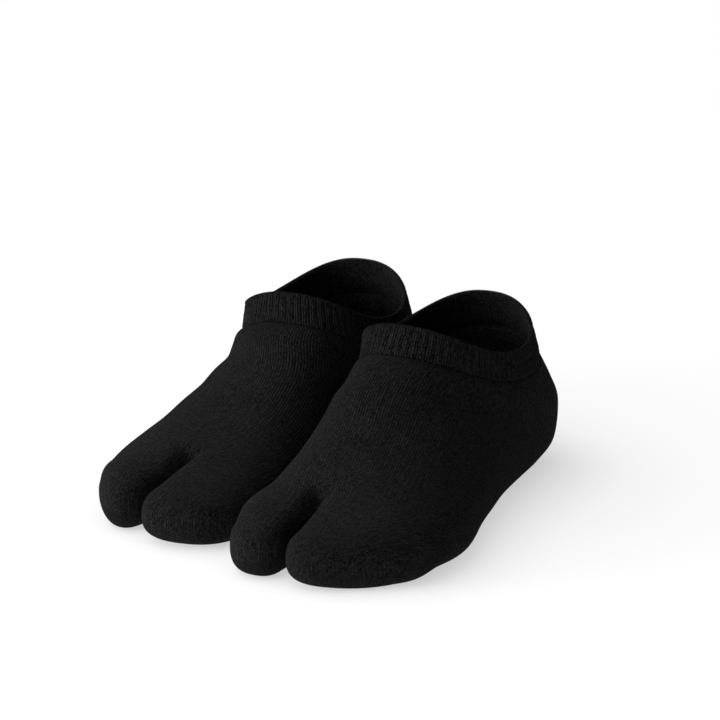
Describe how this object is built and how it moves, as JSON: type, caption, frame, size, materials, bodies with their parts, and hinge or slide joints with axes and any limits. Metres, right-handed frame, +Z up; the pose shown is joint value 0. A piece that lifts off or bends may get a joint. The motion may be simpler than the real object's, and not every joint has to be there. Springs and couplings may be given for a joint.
{
  "type": "pair of low-cut split-toe tabi socks",
  "caption": "Pair of low-cut black knit tabi socks in worn shape, each with a separate big-toe pocket and a ribbed cuff round its open ankle.",
  "frame": {"origin": "centre of the pair's footprint, on the floor under the soles", "axes": "+Z up, toes towards -Y, the wearer's left sock at +X"},
  "size_m": [0.1877, 0.2775, 0.087],
  "materials": {
    "black_knit": "fine plain knit, cotton blend, matt black",
    "black_rib": "ribbed knit, cotton blend, matt black"
  },
  "bodies": {
    "root": {"left_foot": "black_knit", "left_cuff": "black_rib", "right_foot": "black_knit", "right_cuff": "black_rib"}
  },
  "joints": []
}
